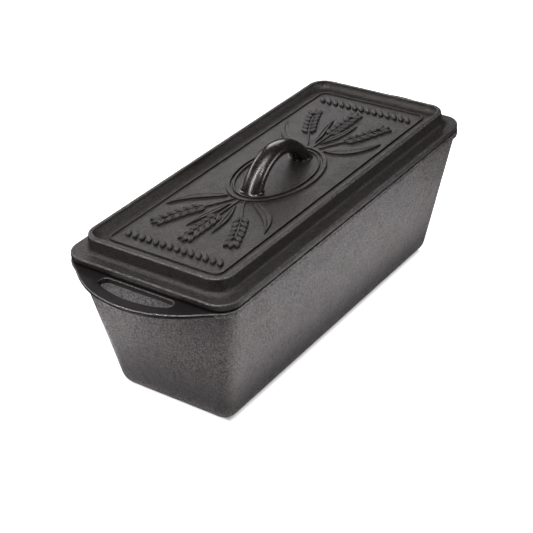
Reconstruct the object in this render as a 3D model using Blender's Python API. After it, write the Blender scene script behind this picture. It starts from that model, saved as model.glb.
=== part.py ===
"""A cast iron loaf pan with its lid.

The object is two castings. The pan has a crescent handle cast on at each end, with a finger slot
through it. The lid has an arched handle cast on its middle, and lies loose on the pan's rim, held
in place by a rib that drops inside the pan's mouth. It lifts straight up.

Metres, +Z up, +X along the pan. The origin is the middle of the base, on the surface that the pan
stands on.
"""
from math import acos, atan2, copysign, cos, pi, radians, sin, sqrt, tan

import bmesh
import bpy
from mathutils import Vector

MM = 0.001

# Outline shared by the pan's rim and the lid's flange
RIM_LENGTH = 370 * MM
RIM_WIDTH = 163 * MM
RIM_CORNER = 18 * MM

# Pan: walls and base
PAN_HEIGHT = 126.8 * MM
END_TAPER = radians(7.4)
SIDE_TAPER = radians(11.0)
END_OVERHANG = 7.4 * MM
SIDE_OVERHANG = 1.4 * MM
WALL = 5 * MM
FLOOR = 6 * MM
WALL_CORNER = 12.5 * MM
BASE_FILLET = 12.5 * MM
FLOOR_FILLET = 12 * MM

# Pan: lip round the rim
LIP_HEIGHT = 5 * MM
LIP_EDGE = 1 * MM
LIP_UNDER_EDGE = 3 * MM
LIP_COVE = 2 * MM
MOUTH_EDGE = 1 * MM

# Pan: crescent handles, and the finger slots through them
LEDGE_REACH = 28.2 * MM
LEDGE_SHOULDER = 6 * MM
LEDGE_BLEND = 4 * MM
SLOT_LENGTH = 71.5 * MM
SLOT_DEPTH = 16.7 * MM
SLOT_END_RADIUS = 5.5 * MM
SLOT_WEB = 10.2 * MM

# Lid: flange, and the raised box with its tray
SEAT_GAP = 0.3 * MM
FLANGE_THICKNESS = 6.7 * MM
FLANGE_EDGE = 1.6 * MM
FLANGE_UNDER_EDGE = 2.4 * MM
FLANGE_FALL = 0.3 * MM
LID_RISE = 21 * MM
RAISED_INSET = 10.8 * MM
RAISED_DRAFT = 0.5 * MM
RAISED_CORNER = 16.5 * MM
LID_COVE = 4 * MM
LAND = 4 * MM
LAND_EDGE = 0.8 * MM
TRAY_DEPTH = 7.1 * MM
TRAY_COVE = 6 * MM
PLATE = 4.5 * MM
HOLLOW_EDGE = 1 * MM

# Lid: locating rib inside the pan's mouth
RIB_HEIGHT = 3 * MM
RIB_WIDTH = 4 * MM
RIB_CLEARANCE = 1 * MM

# Lid: arched handle
ARCH_SPAN = 73.6 * MM
ARCH_RISE = 22.8 * MM
ARCH_TOP_WIDTH = 18.6 * MM
ARCH_TOP_THICKNESS = 12.2 * MM
ARCH_FOOT_WIDTH = 19.8 * MM
ARCH_FOOT_THICKNESS = 14 * MM
ARCH_FILLET = 1.8 * MM
ARCH_SINK = 2.2 * MM

# Lid: cast ornament on the tray, raised above its panel
RELIEF_HEIGHT = 1.5 * MM
RELIEF_SINK = 1 * MM
RELIEF_SHOULDER = 0.6
LOW_RELIEF = 0.8
CROWN_SHARE = 0.5
OVAL_CLEARANCE = 0.6 * MM
OVAL_HALF_WIDTH = 29.5 * MM
OVAL_LINE = 1.2 * MM
OVAL_SPACING = 5 * MM
OVAL_BAND = 2.1 * MM
BORDER_INSET = 26.5 * MM
BORDER_CORNER = 7 * MM
BORDER_LINE = 1.1 * MM
BAND_SIDE = 0.5 * MM

# Lid: the roped bar across each end of the tray, a row of slanted rolls
ROPE_INSET = 15.5 * MM
ROPE_END_CLEARANCE = 9.5 * MM
ROLL_SPACING = 7 * MM
ROLL_SLANT = Vector((4.6, 3.4)) * MM
ROLL_HALF_WIDTH = 2.3 * MM

# Lid: ears of wheat and leaves, each along a curve of four points, as shares of the border line's
# half length and half width
MIDDLE_STEM = ((0.34, 0), (0.41, 0), (0.5, 0), (0.765, 0))
OUTER_STEM = ((0.335, 0.09), (0.415, 0.165), (0.49, 0.4), (0.705, 0.635))
INNER_LEAF = ((0.39, 0.035), (0.49, 0.13), (0.59, 0.2), (0.715, 0.235))
OUTER_LEAF = ((0.335, 0.22), (0.365, 0.51), (0.43, 0.765), (0.58, 0.91))
STEM_HALF_WIDTH = 1.1 * MM
INNER_LEAF_HALF_WIDTH = 3.1 * MM
OUTER_LEAF_HALF_WIDTH = 5.2 * MM
GRAIN_PAIRS = 6
GRAIN_SPACING = 7.4 * MM
GRAIN_NOTCH = 2.4 * MM
GRAIN_POINT = 9 * MM
NOTCH_HALF_WIDTH = 3.9 * MM
EAR_HALF_WIDTH = 6 * MM
TIP_NOTCH = 9.5 * MM
TIP_GRAIN = 12 * MM
TIP_HALF_WIDTH = 2.4 * MM

# Looks: colour, roughness
PAN_IRON = ((0.16, 0.155, 0.158), 0.55)
LID_IRON = ((0.085, 0.08, 0.08), 0.5)
METALLIC = 0.3
SHARP_ANGLE = radians(35)

# Facets
CORNER_STEPS = 8
END_STEPS = 16
FILLET_STEPS = 5
COVE_STEPS = 3
ARCH_STEPS = 20
ARCH_SIDES = 20
FOOT_STEPS = 4
OVAL_STEPS = 40
STEM_STEPS = 8
LEAF_STEPS = 10
ROLL_STEPS = 4
LEAST_RADIUS = 1 * MM
TOLERANCE = 1e-9

# Heights and half sizes that follow from the sizes above
LIP_BOTTOM = PAN_HEIGHT - LIP_HEIGHT
FLANGE_BOTTOM = PAN_HEIGHT + SEAT_GAP
LAND_HEIGHT = FLANGE_BOTTOM + LID_RISE
PANEL_HEIGHT = LAND_HEIGHT - TRAY_DEPTH
RIM_HALF_LENGTH = RIM_LENGTH / 2
RIM_HALF_WIDTH = RIM_WIDTH / 2
BORDER_HALF_LENGTH = RIM_HALF_LENGTH - BORDER_INSET
BORDER_HALF_WIDTH = RIM_HALF_WIDTH - BORDER_INSET

# The arch's middle line is part of a circle, whose centre lies below the tray's panel
ARCH_RADIUS = (ARCH_SPAN ** 2 / 4 + ARCH_RISE ** 2) / (2 * ARCH_RISE)
ARCH_DROP = ARCH_RADIUS - ARCH_RISE
ARCH_REACH = sqrt((ARCH_RADIUS + ARCH_FOOT_THICKNESS / 2) ** 2 - ARCH_DROP ** 2)
OVAL_HALF_LENGTH = ARCH_REACH + ARCH_FILLET + OVAL_LINE + OVAL_CLEARANCE


def wall_half_length(z):
    """Half length of the pan's outer wall at height z: the end walls lean out by END_TAPER."""
    return RIM_HALF_LENGTH - END_OVERHANG - (LIP_BOTTOM - z) * tan(END_TAPER)


def wall_half_width(z):
    """Half width of the pan's outer wall at height z: the side walls lean out by SIDE_TAPER."""
    return RIM_HALF_WIDTH - SIDE_OVERHANG - (LIP_BOTTOM - z) * tan(SIDE_TAPER)


def ledge_arc():
    """Centre (on X) and radius of the arc that bounds a crescent handle.

    The arc runs over its outermost point and through two points that lie inside the rim, over the
    middle of the end wall and LEDGE_SHOULDER in from the rim's long sides.
    """
    root = RIM_HALF_LENGTH - END_OVERHANG - WALL / 2
    half_chord = RIM_HALF_WIDTH - LEDGE_SHOULDER
    rise = RIM_HALF_LENGTH + LEDGE_REACH - root
    radius = (half_chord ** 2 + rise ** 2) / (2 * rise)
    return RIM_HALF_LENGTH + LEDGE_REACH - radius, radius


def smooth_max(a, b, blend):
    """The larger of two lengths, eased over about one blend where they meet."""
    return (a + b + sqrt((a - b) ** 2 + blend ** 2)) / 2


def ring(half_length, half_width, radius, z, ledge_inset=None):
    """Points round a rectangle with rounded corners, at height z.

    With a ledge_inset, both ends are pushed out along X to the crescents' arc, drawn in by
    that inset.
    """
    radius = max(radius, LEAST_RADIUS)
    points = []
    for quarter in range(4):
        centre_x = (half_length - radius) * (1 if quarter in (0, 3) else -1)
        centre_y = (half_width - radius) * (1 if quarter in (0, 1) else -1)
        for step in range(CORNER_STEPS + 1):
            angle = pi / 2 * (quarter + step / CORNER_STEPS)
            points.append((centre_x + radius * cos(angle), centre_y + radius * sin(angle)))
        if quarter in (1, 3):
            side = -1 if quarter == 1 else 1
            for step in range(1, END_STEPS):
                y = centre_y * (1 - 2 * step / END_STEPS)
                points.append((side * half_length, y))
    if ledge_inset is None:
        return [(x, y, z) for x, y in points]
    centre, arc_radius = ledge_arc()
    arc_radius -= ledge_inset
    outline = []
    for x, y in points:
        if abs(x) >= half_length - radius - TOLERANCE and abs(y) < arc_radius:
            reach = centre + sqrt(arc_radius ** 2 - y ** 2)
            x = smooth_max(abs(x), reach, LEDGE_BLEND) * (1 if x > 0 else -1)
        outline.append((x, y, z))
    return outline


def closed_mesh(name, *bodies, hoop=False):
    """A mesh of closed bodies, each a list of rings, with neighbouring rings joined by faces.

    The first and the last ring of a body are filled, or joined to each other where it is a hoop.
    """
    shape = bmesh.new()
    for rings in bodies:
        loops = [[shape.verts.new(point) for point in points] for points in rings]
        if hoop:
            loops.append(loops[0])
        for lower, upper in zip(loops, loops[1:]):
            count = len(lower)
            for i in range(count):
                j = (i + 1) % count
                shape.faces.new((lower[i], lower[j], upper[j], upper[i]))
        if not hoop:
            shape.faces.new(loops[0])
            shape.faces.new(loops[-1])
    bmesh.ops.recalc_face_normals(shape, faces=shape.faces)
    mesh = bpy.data.meshes.new(name)
    shape.to_mesh(mesh)
    shape.free()
    return mesh


def place(name, mesh, material=None):
    """Link a mesh to the scene as an object, shaded smooth except at its edges."""
    part = bpy.data.objects.new(name, mesh)
    bpy.context.scene.collection.objects.link(part)
    mesh.shade_smooth()
    mesh.set_sharp_from_angle(angle=SHARP_ANGLE)
    if material:
        mesh.materials.append(material)
    return part


def form(name, mesh):
    """A helper shape that another object is cut by or joined with."""
    helper = place(name, mesh)
    helper.hide_render = True
    helper.display_type = "WIRE"
    return helper


def combine(part, helper, operation):
    """Join a helper shape to a part, or cut the part by it."""
    step = part.modifiers.new(helper.name, "BOOLEAN")
    step.operation = operation
    step.solver = "EXACT"
    step.object = helper


def iron(name, colour, roughness):
    """Seasoned cast iron."""
    material = bpy.data.materials.new(name)
    material.use_nodes = True
    shader = material.node_tree.nodes["Principled BSDF"]
    shader.inputs["Base Color"].default_value = (*colour, 1)
    shader.inputs["Roughness"].default_value = roughness
    shader.inputs["Metallic"].default_value = METALLIC
    return material


def pan_outside():
    """Rings up the pan's outside, from the base over its fillet and walls to the lip's cove."""
    rings = []
    for step in range(FILLET_STEPS + 1):
        angle = pi / 2 * (1 - step / FILLET_STEPS)
        z = BASE_FILLET * (1 - sin(angle))
        inset = BASE_FILLET * (1 - cos(angle))
        half_length = wall_half_length(z) - inset
        half_width = wall_half_width(z) - inset
        rings.append(ring(half_length, half_width, WALL_CORNER - inset, z))
    z = LIP_BOTTOM - LIP_COVE
    rings.append(ring(wall_half_length(z), wall_half_width(z), WALL_CORNER, z))
    return rings


def pan_lip():
    """Rings round the lip: its cove, its lower edge and its upper edge.

    The lower edge is drawn in further at the ends than along the sides, where the lip is narrow.
    """
    side_cove = min(LIP_COVE, SIDE_OVERHANG / 2)
    cove = ring(
        wall_half_length(LIP_BOTTOM) + min(LIP_COVE, END_OVERHANG / 2),
        wall_half_width(LIP_BOTTOM) + side_cove,
        WALL_CORNER,
        LIP_BOTTOM,
    )
    rings = [cove]
    side_inset = (SIDE_OVERHANG - side_cove) / 2
    side_share = side_inset / LIP_UNDER_EDGE
    for step in range(COVE_STEPS + 1):
        angle = pi / 2 * step / COVE_STEPS
        inset = LIP_UNDER_EDGE * (1 - sin(angle))
        half_width = RIM_HALF_WIDTH - inset * side_share
        z = LIP_BOTTOM + LIP_UNDER_EDGE * (1 - cos(angle))
        rings.append(ring(RIM_HALF_LENGTH - inset, half_width, RIM_CORNER - inset, z, inset))
    for step in range(COVE_STEPS + 1):
        angle = pi / 2 * step / COVE_STEPS
        inset = LIP_EDGE * (1 - cos(angle))
        z = PAN_HEIGHT - LIP_EDGE * (1 - sin(angle))
        half_width = RIM_HALF_WIDTH - inset
        rings.append(ring(RIM_HALF_LENGTH - inset, half_width, RIM_CORNER - inset, z, inset))
    return rings


def mouth(inset, z):
    """A ring of the pan's mouth at height z, drawn in by an inset."""
    half_length = wall_half_length(PAN_HEIGHT) - WALL - inset
    half_width = wall_half_width(PAN_HEIGHT) - WALL - inset
    return ring(half_length, half_width, WALL_CORNER - WALL - inset, z)


def pan_inside():
    """Rings down the pan's inside, from the mouth's rounded edge to the floor."""
    rings = []
    for step in range(COVE_STEPS + 1):
        angle = pi / 2 * step / COVE_STEPS
        outset = MOUTH_EDGE * (1 - sin(angle))
        rings.append(mouth(-outset, PAN_HEIGHT - MOUTH_EDGE * (1 - cos(angle))))
    for step in range(FILLET_STEPS + 1):
        angle = pi / 2 * step / FILLET_STEPS
        z = FLOOR + FLOOR_FILLET * (1 - sin(angle))
        inset = WALL + FLOOR_FILLET * (1 - cos(angle))
        half_length = wall_half_length(z) - inset
        half_width = wall_half_width(z) - inset
        rings.append(ring(half_length, half_width, WALL_CORNER - inset, z))
    return rings


def slot_outline():
    """Points round the finger slot at the +X end.

    Its inner side is straight and its outer side is an arc, which two round ends run into.
    """
    outer = RIM_HALF_LENGTH + LEDGE_REACH - SLOT_WEB
    inner = outer - SLOT_DEPTH
    end_x = inner + SLOT_END_RADIUS
    end_y = SLOT_LENGTH / 2 - SLOT_END_RADIUS
    drop = outer - SLOT_END_RADIUS - end_x
    arc_radius = (end_y ** 2 + drop ** 2) / (2 * drop) + SLOT_END_RADIUS
    arc_x = outer - arc_radius
    tangent = atan2(end_y, end_x - arc_x)
    points = []
    for step in range(END_STEPS + 1):
        angle = tangent * (2 * step / END_STEPS - 1)
        points.append((arc_x + arc_radius * cos(angle), arc_radius * sin(angle)))
    for side in (1, -1):
        first, last = (tangent, pi) if side > 0 else (pi, 2 * pi - tangent)
        skipped = 1 if side > 0 else 0
        for step in range(skipped, CORNER_STEPS + 1 - (1 - skipped)):
            angle = first + (last - first) * step / CORNER_STEPS
            x = end_x + SLOT_END_RADIUS * cos(angle)
            points.append((x, side * end_y + SLOT_END_RADIUS * sin(angle)))
    return points


def slot_form(name, end):
    """The cutter of a finger slot, which runs past both faces of its crescent."""
    outline = [(end * x, y) for x, y in slot_outline()]
    margin = LIP_HEIGHT
    low = LIP_BOTTOM - margin
    high = PAN_HEIGHT + margin
    rings = [[(x, y, z) for x, y in outline] for z in (low, high)]
    return form(name, closed_mesh(name, rings))


def make_pan(material):
    """The pan: one casting with both crescents, open at the top."""
    rings = pan_outside() + pan_lip() + pan_inside()
    pan = place("pan", closed_mesh("pan", rings), material)
    for name, end in (("slot_form_far", 1), ("slot_form_near", -1)):
        combine(pan, slot_form(name, end), "DIFFERENCE")
    return pan


def lid_ring(inset, corner, z):
    """A ring of the lid, drawn in from the flange's outline by the same inset all round."""
    return ring(RIM_HALF_LENGTH - inset, RIM_HALF_WIDTH - inset, corner, z)


def lid_top():
    """Rings over the lid's top, from the panel out to the edge of the flange."""
    rings = []
    land_outer = RAISED_INSET + RAISED_DRAFT
    land_inner = land_outer + LAND
    corner = RAISED_CORNER - LAND
    for step in range(FILLET_STEPS + 1):
        angle = pi / 2 * step / FILLET_STEPS
        inset = TRAY_COVE * (1 - sin(angle))
        z = PANEL_HEIGHT + min(TRAY_COVE, TRAY_DEPTH - LAND_EDGE) * (1 - cos(angle))
        rings.append(lid_ring(land_inner + inset, corner - inset, z))
    rings.append(lid_ring(land_inner, corner, LAND_HEIGHT - LAND_EDGE))
    rings.append(lid_ring(land_inner - LAND_EDGE, corner + LAND_EDGE, LAND_HEIGHT))
    rings.append(lid_ring(land_outer + LAND_EDGE, RAISED_CORNER - LAND_EDGE, LAND_HEIGHT))
    rings.append(lid_ring(land_outer, RAISED_CORNER, LAND_HEIGHT - LAND_EDGE))
    strip_height = FLANGE_BOTTOM + FLANGE_THICKNESS + FLANGE_FALL
    for step in range(FILLET_STEPS + 1):
        angle = pi / 2 * step / FILLET_STEPS
        inset = RAISED_INSET - LID_COVE * (1 - cos(angle))
        z = strip_height + LID_COVE * (1 - sin(angle))
        rings.append(lid_ring(inset, RAISED_CORNER, z))
    for step in range(COVE_STEPS + 1):
        angle = pi / 2 * step / COVE_STEPS
        inset = FLANGE_EDGE * (1 - sin(angle))
        z = FLANGE_BOTTOM + FLANGE_THICKNESS - FLANGE_EDGE * (1 - cos(angle))
        rings.append(lid_ring(inset, RIM_CORNER - inset, z))
    return rings


def rib(inset, z):
    """A ring of the locating rib, which keeps RIB_CLEARANCE to the pan's mouth all round."""
    return mouth(RIB_CLEARANCE + inset, z)


def lid_underside():
    """Rings under the lid: the flange's seat, the locating rib and the hollow of the box."""
    rib_bottom = FLANGE_BOTTOM - RIB_HEIGHT
    ceiling = PANEL_HEIGHT - PLATE
    hollow = RAISED_INSET + PLATE
    corner = RAISED_CORNER - PLATE
    rings = []
    for step in range(COVE_STEPS + 1):
        angle = pi / 2 * step / COVE_STEPS
        inset = FLANGE_UNDER_EDGE * (1 - cos(angle))
        z = FLANGE_BOTTOM + FLANGE_UNDER_EDGE * (1 - sin(angle))
        rings.append(lid_ring(inset, RIM_CORNER - inset, z))
    return rings + [
        rib(0, FLANGE_BOTTOM),
        rib(0, rib_bottom),
        rib(RIB_WIDTH, rib_bottom),
        rib(RIB_WIDTH, FLANGE_BOTTOM),
        lid_ring(hollow, corner, FLANGE_BOTTOM + FLANGE_THICKNESS / 2),
        lid_ring(hollow, corner, ceiling - HOLLOW_EDGE),
        lid_ring(hollow + HOLLOW_EDGE, corner - HOLLOW_EDGE, ceiling),
    ]


def arch_station(share):
    """A ring round the arch, at a share of the way from its top to a foot: -1 or 1 at the foot.

    Each line along the bar has its own end angle, so that the foot's ring is level, sunk in the plate.
    """
    top = 1 - share ** 2
    width = ARCH_FOOT_WIDTH + (ARCH_TOP_WIDTH - ARCH_FOOT_WIDTH) * top
    thickness = ARCH_FOOT_THICKNESS + (ARCH_TOP_THICKNESS - ARCH_FOOT_THICKNESS) * top
    points = []
    for side in range(ARCH_SIDES):
        turn = 2 * pi * side / ARCH_SIDES
        foot_radius = ARCH_RADIUS + ARCH_FOOT_THICKNESS / 2 * sin(turn)
        angle = share * acos((ARCH_DROP - ARCH_SINK) / foot_radius)
        radius = ARCH_RADIUS + thickness / 2 * sin(turn)
        height = radius * cos(angle) - ARCH_DROP
        down = min(max(ARCH_FILLET - height, 0), ARCH_FILLET)
        flare = ARCH_FILLET - sqrt(ARCH_FILLET ** 2 - down ** 2)
        x = radius * sin(angle) + copysign(flare, share) * sin(turn)
        points.append((x, (width / 2 + flare) * cos(turn), PANEL_HEIGHT + height))
    return points


def make_arch():
    """The lid's handle: an oval bar along an arc, a little thicker at its feet, with fillets there."""
    last = acos((ARCH_DROP - ARCH_SINK) / ARCH_RADIUS)
    foot = 1 - acos((ARCH_DROP + ARCH_FILLET) / ARCH_RADIUS) / last
    first = [1 - foot * step / FOOT_STEPS for step in range(FOOT_STEPS)]
    middle = [(1 - foot) * (1 - 2 * step / ARCH_STEPS) for step in range(ARCH_STEPS + 1)]
    shares = first + middle + [-share for share in reversed(first)]
    return form("arch_form", closed_mesh("arch_form", [arch_station(share) for share in shares]))


def curve(points, steps):
    """Points along a curve from the first to the last of four points inside the border line."""
    a, b, c, d = (Vector((x * BORDER_HALF_LENGTH, y * BORDER_HALF_WIDTH)) for x, y in points)
    path = []
    for step in range(steps + 1):
        t = step / steps
        s = 1 - t
        path.append(a * s ** 3 + b * 3 * s ** 2 * t + c * 3 * s * t ** 2 + d * t ** 3)
    return path


def flipped(points):
    """The same points on the tray's other long side."""
    return [(x, -y) for x, y in points]


def raised(path, half_widths, height, end):
    """Rings of a raised form along a path: its outline at its foot and shoulder, and its crown.

    The widths count between the path's first and last point, where the form runs to a tip.
    """
    left, right = [path[0]], []
    left_crown, right_crown = [path[0].lerp(path[1], CROWN_SHARE)], []
    for i, half_width in enumerate(half_widths, 1):
        ahead = (path[i + 1] - path[i - 1]).normalized()
        aside = Vector((-ahead.y, ahead.x)) * half_width
        left.append(path[i] + aside)
        right.insert(0, path[i] - aside)
        left_crown.append(path[i] + aside * CROWN_SHARE)
        right_crown.insert(0, path[i] - aside * CROWN_SHARE)
    outline = left + [path[-1]] + right
    crown = left_crown + [path[-1].lerp(path[-2], CROWN_SHARE)] + right_crown
    levels = (
        (outline, PANEL_HEIGHT - RELIEF_SINK),
        (outline, PANEL_HEIGHT + height * RELIEF_SHOULDER),
        (crown, PANEL_HEIGHT + height),
    )
    return [[(end * x, y, z) for x, y in points] for points, z in levels]


def swelling(path, half_width):
    """Half widths that grow from the path's tips to its middle, like a leaf's."""
    last = len(path) - 1
    return [half_width * sin(pi * i / last) for i in range(1, last)]


def back_along(path, distance):
    """The point on a path that lies a distance back from its last point."""
    for nearer, further in zip(path[::-1], path[-2::-1]):
        step = (nearer - further).length
        if distance <= step:
            return nearer.lerp(further, distance / step)
        distance -= step
    return path[0]


def ear(stem, end):
    """An ear of wheat at a stem's tip: a notch and a point for each pair of grains, then one grain."""
    tip = stem[-1]
    way = (stem[-1] - stem[-2]).normalized()
    first = -(GRAIN_PAIRS - 1) * GRAIN_SPACING
    places = [first]
    half_widths = []
    for pair in range(GRAIN_PAIRS):
        foot = first + pair * GRAIN_SPACING
        places += [foot + GRAIN_NOTCH, foot + GRAIN_POINT]
        half_widths += [NOTCH_HALF_WIDTH, EAR_HALF_WIDTH]
    places += [TIP_NOTCH, TIP_GRAIN]
    half_widths.append(TIP_HALF_WIDTH)
    path = [tip + way * place if place > 0 else back_along(stem, -place) for place in places]
    return raised(path, half_widths, RELIEF_HEIGHT, end)


def hoop_rings(outline_at, half_width, height):
    """Rings of a band along a closed outline, which outline_at draws at an offset and a height."""
    low = PANEL_HEIGHT - RELIEF_SINK
    high = PANEL_HEIGHT + height
    crown = half_width - BAND_SIDE
    return [
        outline_at(half_width, low),
        outline_at(crown, high),
        outline_at(-crown, high),
        outline_at(-half_width, low),
    ]


def oval_band(half_length, half_width, band):
    """Rings of a band round an oval."""
    def outline_at(offset, z):
        turns = [2 * pi * step / OVAL_STEPS for step in range(OVAL_STEPS)]
        return [((half_length + offset) * cos(t), (half_width + offset) * sin(t), z) for t in turns]
    return hoop_rings(outline_at, band, RELIEF_HEIGHT)


def border_line():
    """Rings of the plain line round the tray."""
    def outline_at(offset, z):
        return lid_ring(BORDER_INSET - offset, BORDER_CORNER + offset, z)
    return hoop_rings(outline_at, BORDER_LINE, RELIEF_HEIGHT * LOW_RELIEF)


def rope_rolls(end):
    """The slanted rolls of the roped bar across one end of the tray."""
    count = round(2 * (BORDER_HALF_WIDTH - ROPE_END_CLEARANCE) / ROLL_SPACING)
    rolls = []
    for i in range(count + 1):
        middle = Vector((BORDER_HALF_LENGTH - ROPE_INSET, ROLL_SPACING * (i - count / 2)))
        path = [middle + ROLL_SLANT * (2 * step / ROLL_STEPS - 1) for step in range(ROLL_STEPS + 1)]
        half_widths = [ROLL_HALF_WIDTH] * (ROLL_STEPS - 1)
        rolls.append(raised(path, half_widths, RELIEF_HEIGHT, end))
    return rolls


def ornament():
    """The helper shapes of the ornament: bands, ropes, stems, leaves and ears of wheat."""
    stems = [curve(points, STEM_STEPS) for points in (MIDDLE_STEM, OUTER_STEM, flipped(OUTER_STEM))]
    leaves = []
    for points, half_width in (
        (INNER_LEAF, INNER_LEAF_HALF_WIDTH),
        (OUTER_LEAF, OUTER_LEAF_HALF_WIDTH),
    ):
        leaves.append((curve(points, LEAF_STEPS), half_width))
        leaves.append((curve(flipped(points), LEAF_STEPS), half_width))
    stem_widths = [STEM_HALF_WIDTH] * (STEM_STEPS - 1)
    low = RELIEF_HEIGHT * LOW_RELIEF
    ends = (1, -1)
    kinds = {
        "rope_form": [roll for end in ends for roll in rope_rolls(end)],
        "stem_form": [raised(stem, stem_widths, low, end) for end in ends for stem in stems],
        "leaf_form": [
            raised(leaf, swelling(leaf, half_width), low, end) for end in ends for leaf, half_width in leaves
        ],
        "ear_form": [ear(stem, end) for end in ends for stem in stems],
    }
    bands = [
        oval_band(OVAL_HALF_LENGTH, OVAL_HALF_WIDTH, OVAL_LINE),
        oval_band(OVAL_HALF_LENGTH + OVAL_SPACING, OVAL_HALF_WIDTH + OVAL_SPACING, OVAL_BAND),
        border_line(),
    ]
    forms = [form("band_form", closed_mesh("band_form", *bands, hoop=True))]
    for name, bodies in kinds.items():
        forms.append(form(name, closed_mesh(name, *bodies)))
    return forms


def make_lid(material):
    """The lid: one casting, a hollow box on a flange, with the arch and the ornament cast on."""
    rings = lid_top() + lid_underside()
    lid = place("lid", closed_mesh("lid", rings), material)
    for helper in (make_arch(), *ornament()):
        combine(lid, helper, "UNION")
    return lid


def main():
    for old in list(bpy.data.objects):
        bpy.data.objects.remove(old, do_unlink=True)
    make_pan(iron("pan_iron", *PAN_IRON))
    make_lid(iron("lid_iron", *LID_IRON))


main()
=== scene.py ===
# %% [markdown]
# # A cast iron loaf pan with its lid
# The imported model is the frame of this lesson: it says how big the pan and the lid are, and which
# of them moves. Both are plain faceted solids. The cells below lay a fine skin of cast iron over
# them, light them softly on a white table, and look at them as a buyer would, from above a corner.

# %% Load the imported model
from math import pi, radians

import bmesh
import bpy
import numpy as np
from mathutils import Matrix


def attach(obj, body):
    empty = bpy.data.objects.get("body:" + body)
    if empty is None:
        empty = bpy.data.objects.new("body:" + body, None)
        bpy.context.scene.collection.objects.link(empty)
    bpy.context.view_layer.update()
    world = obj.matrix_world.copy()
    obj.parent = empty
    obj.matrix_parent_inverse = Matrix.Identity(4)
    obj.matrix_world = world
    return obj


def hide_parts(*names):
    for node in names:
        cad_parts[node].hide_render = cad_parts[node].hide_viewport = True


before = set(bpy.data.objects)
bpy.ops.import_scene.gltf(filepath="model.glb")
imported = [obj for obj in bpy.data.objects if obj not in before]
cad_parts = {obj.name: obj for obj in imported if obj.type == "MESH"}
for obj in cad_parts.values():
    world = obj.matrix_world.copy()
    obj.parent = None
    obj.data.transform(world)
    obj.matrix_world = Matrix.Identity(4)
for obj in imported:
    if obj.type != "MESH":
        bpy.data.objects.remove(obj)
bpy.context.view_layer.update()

MM = 0.001

# %% [markdown]
# ## The camera
# A photograph fixes where the camera stood: lines that are parallel on the pan run together towards
# the far end, and how fast they do so gives the distance. Here that is about 1.2 m away, 32 degrees
# above the table. A camera needs a place and three directions: to its right, up, and backwards, and
# Blender keeps those three as the columns of a rotation matrix.

# %% Stand the camera in front of the near corner
from mathutils import Matrix

CAMERA_PLACE = (-0.8421, -0.6046, 0.6857)
CAMERA_RIGHT = (0.5698, -0.8205, -0.0463)
CAMERA_UP = (0.4530, 0.2666, 0.8507)
CAMERA_BACK = (-0.6857, -0.5057, 0.5235)
CAMERA_LENS = 92.61
CAMERA_SENSOR = 36
CAMERA_SEES_FROM = 0.05


def placed(name, data):
    """A new object in the scene that shows a mesh, a lamp or a camera."""
    made = bpy.data.objects.new(name, data)
    bpy.context.scene.collection.objects.link(made)
    return made


camera_data = bpy.data.cameras.new("camera")
camera_data.sensor_width = CAMERA_SENSOR
camera_data.lens = CAMERA_LENS
camera_data.clip_start = CAMERA_SEES_FROM
camera = placed("camera", camera_data)
axes = Matrix((CAMERA_RIGHT, CAMERA_UP, CAMERA_BACK)).transposed()
camera.matrix_world = Matrix.Translation(CAMERA_PLACE) @ axes.to_4x4()
bpy.context.scene.camera = camera
print("camera distance in metres:", round(float(np.linalg.norm(CAMERA_PLACE)), 3))

# %% [markdown]
# ## Rounded rectangles
# Cut the pan or the lid level anywhere and you get a rectangle with rounded corners, so one pattern
# of points serves them all. Each point sits on a corner's arc, or on the straight line between the
# ends of two arcs. The pattern is worked out once, and numpy then lays it out for a whole stack of
# rectangles in one go: the rows of the result are the levels, the columns go round.

# %% The pattern of points round a rectangle
CORNER_POINTS = 15
LONG_POINTS = 190
END_POINTS = 96


def outline_pattern():
    """For each point: the corners at both ends of its line, the angles there, and its share of it."""
    corner_x = np.array([1, -1, -1, 1])
    corner_y = np.array([1, 1, -1, -1])
    columns = []
    for corner in range(4):
        following = (corner + 1) % 4
        on_arc = pi / 2 * (corner + np.linspace(0, 1, CORNER_POINTS))
        between = END_POINTS if corner % 2 else LONG_POINTS
        share = np.linspace(0, 1, between + 2)[1:-1]
        turn = pi / 2 * (corner + 1)
        start = np.concatenate((on_arc, np.full(between, turn)))
        share = np.concatenate((np.zeros(CORNER_POINTS), share))
        columns.append(np.stack(np.broadcast_arrays(
            corner_x[corner], corner_y[corner], start,
            corner_x[following], corner_y[following], turn, share)))
    return np.concatenate(columns, axis=1)


PATTERN = outline_pattern()


def rounded_rectangles(half_length, half_width, radius):
    """Centre of the corner plus radius times (cosine, sine), then a straight line to the next arc."""
    half_length, half_width, radius = np.broadcast_arrays(half_length, half_width, radius)
    across = (half_length - radius)[:, None]
    along = (half_width - radius)[:, None]
    bend = radius[:, None]
    from_x, from_y, from_angle, to_x, to_y, to_angle, share = PATTERN
    start_x = from_x * across + bend * np.cos(from_angle)
    start_y = from_y * along + bend * np.sin(from_angle)
    end_x = to_x * across + bend * np.cos(to_angle)
    end_y = to_y * along + bend * np.sin(to_angle)
    return start_x + share * (end_x - start_x), start_y + share * (end_y - start_y)


print("points round an outline:", PATTERN.shape[1])

# %% [markdown]
# ## From a grid of points to a mesh
# A skin is a grid: neighbours along a row and along a column are joined by four-sided faces. Where
# the grid closes on itself the last column is joined to the first, and where a row shrinks to a
# line or a point, its doubled points are merged, so no hole is left. Two more things are worked out
# on the grid: which way it faces, and how sharply it bends.
#
# The mesh carries three numbers for each point, as attributes that the iron reads later. The one named
# curve is the bend, which lightens edges as rubbed metal with a painted highlight and darkens hollows with
# painted shade. The one named soot is painted shade, darker towards the bottom of the pan, and the one
# named coarse is how strongly its sand grain shows.

# %% Normals, bend and mesh of a grid
MERGE_DISTANCE = 1e-6
FULL_BEND = 1 / MM
LEAST_STEP = 0.15 * MM
NEARLY_ZERO = 1e-12


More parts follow.
